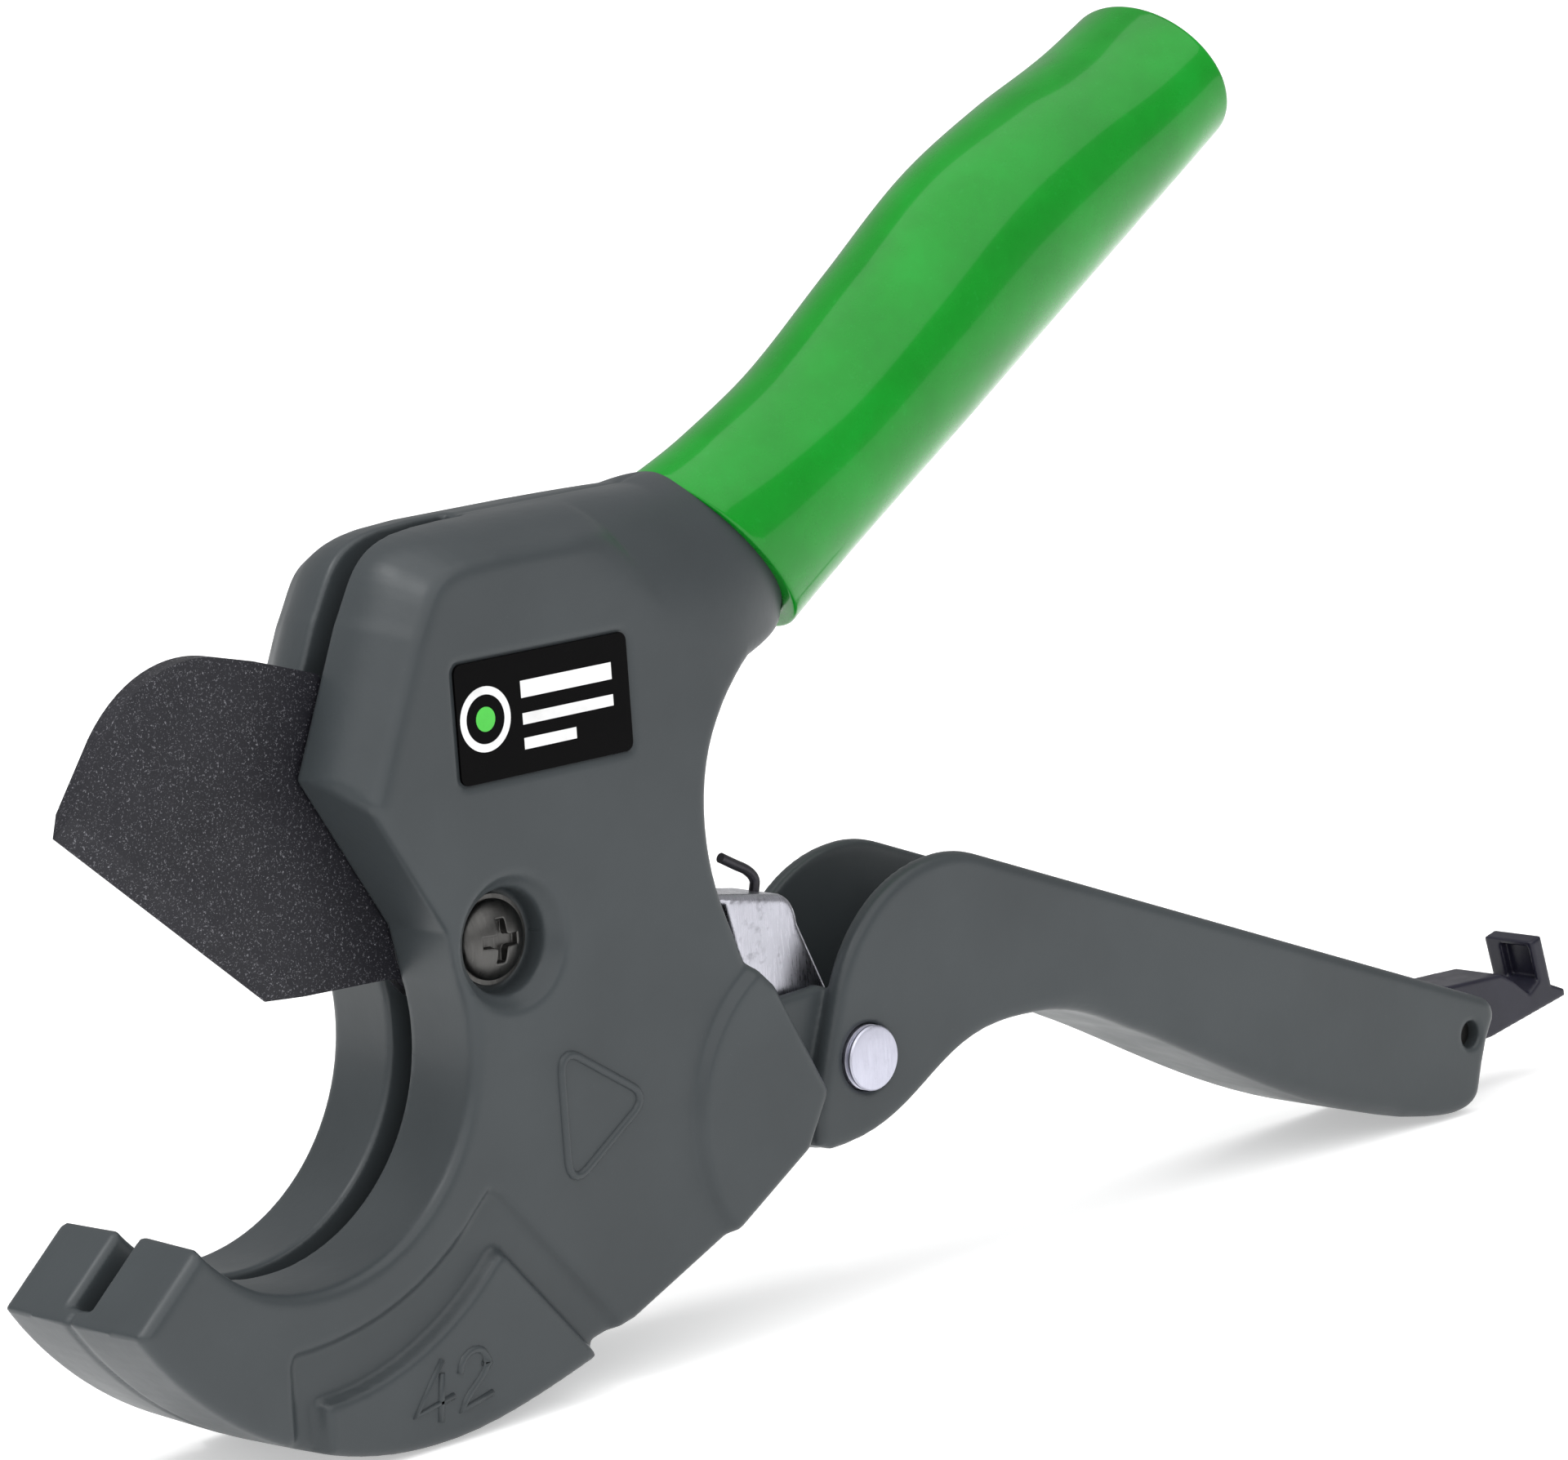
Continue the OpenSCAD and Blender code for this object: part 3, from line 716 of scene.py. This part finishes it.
def plate(name, outline, y0, y1, edge):
    """Flat plate over an outline, all its edges broken by a small round."""
    pts = [Vector(p) for p in outline]
    area = sum(a.x * b.y - b.x * a.y for a, b in zip(pts, pts[1:] + pts[:1]))
    if area < 0:
        pts.reverse()
    n = len(pts)
    inward = []
    for i in range(n):
        a, b = (pts[i] - pts[i - 1]), (pts[(i + 1) % n] - pts[i])
        na, nb = Vector((-a.y, a.x)).normalized(), Vector((-b.y, b.x)).normalized()
        m = (na + nb)
        m = m / max(m.length_squared / 2, 0.35)
        inward.append(m)
    steps = [(edge, 0), (edge * 0.3, edge * 0.3), (0, edge)]
    rings = [(y0 + dy, inset) for inset, dy in steps] + [(y1 - dy, inset) for inset, dy in reversed(steps)]
    verts, faces = [], []
    for y, inset in rings:
        for p, m in zip(pts, inward):
            q = p + m * inset
            verts.append((q.x, y, q.y))
    for r in range(len(rings) - 1):
        for i in range(n):
            j = (i + 1) % n
            faces.append((r * n + i, r * n + j, (r + 1) * n + j, (r + 1) * n + i))
    faces.append(tuple(range(n)))
    faces.append(tuple((len(rings) - 1) * n + i for i in range(n)))
    return mesh_object(name, verts, faces, False)


def turned(name, centre, profile, around=64):
    """Lathe body along Y from (radius, y) pairs."""
    verts, faces = [], []
    for r, y in profile:
        for i in range(around):
            a = 2 * math.pi * i / around
            verts.append((centre[0] + r * math.cos(a), y, centre[1] + r * math.sin(a)))
    for k in range(len(profile) - 1):
        for i in range(around):
            j = (i + 1) % around
            faces.append((k * around + i, k * around + j, (k + 1) * around + j, (k + 1) * around + i))
    faces.append(tuple(range(around)))
    faces.append(tuple((len(profile) - 1) * around + i for i in range(around)))
    obj = mesh_object(name, verts, faces)
    smooth_by_angle(obj, 35)
    return obj


def smooth_by_angle(obj, degrees):
    """Smooth shading with creases kept sharper than the angle."""
    bm = bmesh.new()
    bm.from_mesh(obj.data)
    for e in bm.edges:
        if len(e.link_faces) == 2:
            e.smooth = e.calc_face_angle(0) < math.radians(degrees)
    for f in bm.faces:
        f.smooth = True
    bm.to_mesh(obj.data)
    bm.free()


def wire(name, points, radius, sides=12):
    """Round wire along 3-D points."""
    pts = [Vector(p) for p in points]
    verts, faces = [], []
    up = Vector((0, 1, 0))
    tangents = [(pts[min(i + 1, len(pts) - 1)] - pts[max(i - 1, 0)]).normalized() for i in range(len(pts))]
    if abs(tangents[0].dot(up)) > 0.9:
        up = Vector((1, 0, 0))
    side = tangents[0].cross(up).normalized()
    for p, t in zip(pts, tangents):
        side = (side - t * side.dot(t)).normalized()
        other = t.cross(side)
        for i in range(sides):
            a = 2 * math.pi * i / sides
            verts.append(tuple(p + (side * math.cos(a) + other * math.sin(a)) * radius))
    for r in range(len(pts) - 1):
        for i in range(sides):
            j = (i + 1) % sides
            faces.append((r * sides + i, r * sides + j, (r + 1) * sides + j, (r + 1) * sides + i))
    faces.append(tuple(range(sides)))
    faces.append(tuple((len(pts) - 1) * sides + i for i in range(sides)))
    obj = mesh_object(name, verts, faces)
    smooth_by_angle(obj, 50)
    return obj


def curve3(points, n=8):
    """Smooth path through 3-D points."""
    p = [Vector(points[0])] + [Vector(q) for q in points] + [Vector(points[-1])]
    out = []
    for i in range(1, len(p) - 2):
        for k in range(n):
            t = k / n
            out.append(0.5 * ((2 * p[i]) + (p[i + 1] - p[i - 1]) * t
                              + (2 * p[i - 1] - 5 * p[i] + 4 * p[i + 1] - p[i + 2]) * t * t
                              + (3 * p[i] - p[i - 1] - 3 * p[i + 1] + p[i + 2]) * t**3))
    out.append(p[-2])
    return [tuple(q) for q in out]


def ridge(name, path, width, height, y, closed=False):
    """Raised rounded line on the flank at depth y, along an X-Z path."""
    pts = [Vector(p) for p in path]
    n = len(pts)
    section = [(-0.5, -0.25), (-0.42, 0.45), (-0.2, 0.95), (0.2, 0.95), (0.42, 0.45), (0.5, -0.25)]
    verts, faces = [], []
    for i, p in enumerate(pts):
        if closed:
            a, b = pts[i] - pts[i - 1], pts[(i + 1) % n] - pts[i]
        else:
            a = pts[i] - pts[i - 1] if i else pts[1] - pts[0]
            b = pts[i + 1] - pts[i] if i < n - 1 else a
        na, nb = Vector((-a.y, a.x)).normalized(), Vector((-b.y, b.x)).normalized()
        m = na + nb
        m = m / max(m.length_squared / 2, 0.5)
        for u, v in section:
            q = p + m * (u * width)
            verts.append((q.x, y - v * height, q.y))
    k = len(section)
    for i in range(n if closed else n - 1):
        j = (i + 1) % n
        for c in range(k - 1):
            faces.append((i * k + c, i * k + c + 1, j * k + c + 1, j * k + c))
    if not closed:
        faces.append(tuple(range(k)))
        faces.append(tuple((n - 1) * k + c for c in range(k)))
    return mesh_object(name, verts, faces)


def rounded_path(corners, radius, n=5):
    """Closed path with its corners rounded."""
    out = []
    c = [Vector(p) for p in corners]
    for i, p in enumerate(c):
        a, b = (c[i - 1] - p).normalized(), (c[(i + 1) % len(c)] - p).normalized()
        half = a.angle(b) / 2
        reach = radius / math.tan(half)
        p0, p1 = p + a * reach, p + b * reach
        out += bez(tuple(p0), tuple(p0.lerp(p, 0.55)), tuple(p1.lerp(p, 0.55)), tuple(p1), n)
    return out


# ---------------------------------------------------------------- the pieces

finish_piece(body_casting(), "paint", "body", ["body_casting"])
finish_piece(lever_casting(), "paint", "lever", ["lever"])
finish_piece(grip_sleeve(), "grip", "body", ["handle_grip"])
finish_piece(drive_pawl(), "zinc", "drive_pawl", ["drive_pawl"])
finish_piece(latch(), "latch", "latch", ["latch"])


def pivot_screw():
    """Pan head with a cross recess, standing in the recess of the flank."""
    g = Grid((-5.2, -10.8, -5.2), (5.2, -6.6, 5.2), 0.1)
    r = np.hypot(g.X, g.Z)[:, None, :]
    dome = np.sqrt(r**2 + (g.Y + 3.94)**2) - 6.16
    head = both(r - 4.35, dome, 0.3)
    head = both(head, g.Y + 7.97, 0.2)
    turn = math.radians(-2)
    u = (g.X * math.cos(turn) + g.Z * math.sin(turn))[:, None, :]
    v = (-g.X * math.sin(turn) + g.Z * math.cos(turn))[:, None, :]
    narrow = np.maximum(g.Y + 10.1, 0)
    reach, wing = 2.5 - 0.3 * narrow, 0.62 - 0.06 * narrow
    arm_u = np.maximum(np.abs(u) - reach, np.abs(v) - wing)
    arm_v = np.maximum(np.abs(v) - reach, np.abs(u) - wing)
    cross = either(np.minimum(arm_u, arm_v), r - 0.9, 0.35)
    cross = np.maximum(cross, g.Y + 8.9)
    head = cut(head, cross, 0.12)
    obj = surface("screw_head", g, head)
    for vert in obj.data.vertices:
        vert.co.x += BLADE_PIVOT[0] * MM
        vert.co.z += BLADE_PIVOT[1] * MM
    return obj


finish_piece(pivot_screw(), "black_steel", "body", ["blade_pivot_screw"])

pin = turned("drive_pin_face", DRIVE_PIN, [
    (3.2, -10.4), (3.5, -10.32), (3.65, -10.12), (3.65, -9.9), (3.4, -9.75), (3.4, -9.45), (3.65, -9.35),
    (3.65, 10.2), (3.5, 10.5), (3.2, 10.6)])
finish_piece(pin, "pin", "lever", ["drive_pin"])

LABEL_TOP = -BODY_HALF - 0.05
finish_piece(plate("label_base", label_outline(), LABEL_TOP, LABEL_TOP + 0.32, 0.06),
             "label", "body", ["label_plate"])

# plain marks on the label, with no lettering
MARK_TOP = LABEL_TOP - 0.03
MARK_FOOT = LABEL_TOP + 0.05
RING_AT = (26.6, 32.6)
ring = arc(RING_AT, 3.0, 0, 360, 48)[:-1]
label_marks = [
    (ridge("label_ring", ring, 0.9, 0.03, MARK_TOP + 0.03, True), "white"),
    (plate("label_dot", arc(RING_AT, 1.3, 0, 345, 23), MARK_TOP, MARK_FOOT, 0.01), "green_ink"),
]
# left, right, bottom and top of each bar
LABEL_BARS = [(31.6, 44.2, 34.0, 35.8), (31.6, 44.2, 31.2, 32.4), (31.6, 38.8, 28.6, 29.8)]
for i, (x0, x1, z0, z1) in enumerate(LABEL_BARS):
    corners = [(x0, z0), (x1, z0), (x1, z1), (x0, z1)]
    bar = plate(f"label_bar_{i}", corners, MARK_TOP, MARK_FOOT, 0.01)
    label_marks.append((bar, "white"))
for obj, mat in label_marks:
    finish_piece(obj, mat, "body", ())

# spring wires
coil = [(DRIVE_PIN[0] + 4.5 * math.cos(a), -2.1 + 4.2 * a / (8 * math.pi), DRIVE_PIN[1] + 4.5 * math.sin(a))
        for a in np.linspace(0, 8 * math.pi, 97)]
hook = curve3([(79.2, 0, -9.6), (75.6, 0, -4.5), (73.0, 0, 1.0), (73.0, 0, 4.6), (73.2, 0, 6.2),
               (72.2, 0, 7.4), (70.4, 0, 8.4), (68.4, 0, 9.5)])
hook_wire = wire("pawl_spring_wire", hook, 0.6)
coil_wire = wire("pawl_spring_coil", coil, 0.53)
finish_piece(hook_wire, "wire", "drive_pawl", ["pawl_spring"])
finish_piece(coil_wire, "wire", "drive_pawl", ())

# ---------------------------------------------------------------- marks on the flank

tri = rounded_path([(33.2, -3.2), (45.0, -10.9), (33.2, -18.6)], 1.6)
finish_piece(ridge("mark_triangle", tri, 1.0, 0.4, -BODY_HALF, True), "paint", "body")

PANEL_Y = -(BODY_HALF + RAISE)
four = [(13.4, -32.2), (9.4, -37.2), (14.6, -36.3)]
four_bar = [(13.2, -33.6), (12.6, -38.6)]
two = (bez((15.6, -34.2), (15.9, -31.6), (19.6, -31.4), (19.3, -33.9), 8)
       + bez((19.3, -33.9), (19.0, -35.4), (16.4, -36.2), (15.6, -38.0), 6) + [(19.8, -37.2)])
for name, path in (("mark_4a", four), ("mark_4b", four_bar), ("mark_2", two)):
    finish_piece(ridge(name, path, 0.9, 0.4, PANEL_Y), "paint", "body")

# ---------------------------------------------------------------- materials of the carried-over nodes

carried = {
    "blade": "blade", "pivot_spring_washer": "black_steel", "blade_pivot_bush": "steel",
    "blade_shims": "steel", "blade_pivot_nut": "pin", "lever_pivot_pin": "pin",
    "lever_pin_ring": "black_steel", "holding_pawl_pin": "steel", "holding_pawl": "steel",
    "holding_pawl_spring": "steel",
    "lever_spring": "wire", "drive_pin_ring": "black_steel", "latch_pin": "black_steel",
}
for node, mat in carried.items():
    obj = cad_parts[node]
    for i in range(max(1, len(obj.data.materials))):
        if i < len(obj.data.materials):
            obj.data.materials[i] = mats[mat]
        else:
            obj.data.materials.append(mats[mat])

# ---------------------------------------------------------------- camera, floor and light

CAM_AZ, CAM_EL, CAM_ROLL = (math.radians(a) for a in (-42.83, 9.46, -4.0))
CAM_TARGET = Vector((0.0799, 0.00075, 0.02174))
CAM_DISTANCE = 0.6828
CAM_LENS = 142.1

back = Vector((math.sin(CAM_AZ) * math.cos(CAM_EL), -math.cos(CAM_AZ) * math.cos(CAM_EL), math.sin(CAM_EL)))
right = Vector((0, 0, 1)).cross(back).normalized()
up = back.cross(right)
turned_right = right * math.cos(CAM_ROLL) + up * math.sin(CAM_ROLL)
turned_up = up * math.cos(CAM_ROLL) - right * math.sin(CAM_ROLL)
cam_data = bpy.data.cameras.new("camera")
cam_data.lens = CAM_LENS
cam_data.sensor_width = 36
cam_data.clip_start = 0.01
camera = bpy.data.objects.new("camera", cam_data)
bpy.context.collection.objects.link(camera)
camera.matrix_world = Matrix((
    (turned_right.x, turned_up.x, back.x, 0), (turned_right.y, turned_up.y, back.y, 0),
    (turned_right.z, turned_up.z, back.z, 0), (0, 0, 0, 1))).copy()
camera.location = CAM_TARGET + back * CAM_DISTANCE
bpy.context.scene.camera = camera

floor_z = cad_box[0][2]
floor_mesh = bpy.data.meshes.new("floor")
FLOOR_REACH = 12.0     # metres each way
floor_corners = [(x * FLOOR_REACH, y * FLOOR_REACH, floor_z)
                 for x, y in ((-1, -1), (1, -1), (1, 1), (-1, 1))]
floor_mesh.from_pydata(floor_corners, [], [(0, 1, 2, 3)])
floor = bpy.data.objects.new("floor", floor_mesh)
bpy.context.collection.objects.link(floor)
floor_shade = Shade("floor_pale", Specular_IOR_Level=0.1, Roughness=0.8, Emission_Color=(1, 1, 1, 1),
                    Emission_Strength=0.42)
floor_shade.color(floor_shade.grey(floor_shade.noise(6, 3), [(0.3, 0.86), (0.7, 0.90)]))
floor_mesh.materials.append(floor_shade.mat)

world = bpy.data.worlds.new("studio")
world.use_nodes = True
world.node_tree.nodes["Background"].inputs["Color"].default_value = (1.0, 1.0, 1.0, 1)
world.node_tree.nodes["Background"].inputs["Strength"].default_value = 0.42
bpy.context.scene.world = world
bpy.context.scene.view_settings.view_transform = "Standard"


def softbox(name, place, aim, size, power):
    data = bpy.data.lights.new(name, "AREA")
    data.shape = "RECTANGLE"
    data.size, data.size_y = size
    data.energy = power
    light = bpy.data.objects.new(name, data)
    light.location = place
    light.rotation_euler = (Vector(aim) - Vector(place)).to_track_quat("-Z", "Y").to_euler()
    bpy.context.collection.objects.link(light)


softbox("key", (-0.45, 0.20, 0.85), (0.1, 0, 0.05), (0.40, 0.05), 1.6)
softbox("second", (-0.55, -0.14, 0.78), (0.1, 0, 0.05), (0.35, 0.09), 1.0)

sun_data = bpy.data.lights.new("ceiling", "SUN")
sun_data.energy = 2.4
sun_data.angle = math.radians(100)
sun = bpy.data.objects.new("ceiling", sun_data)
sun.rotation_euler = Vector((-0.35, -0.4, 1.0)).to_track_quat("Z", "Y").to_euler()
bpy.context.collection.objects.link(sun)
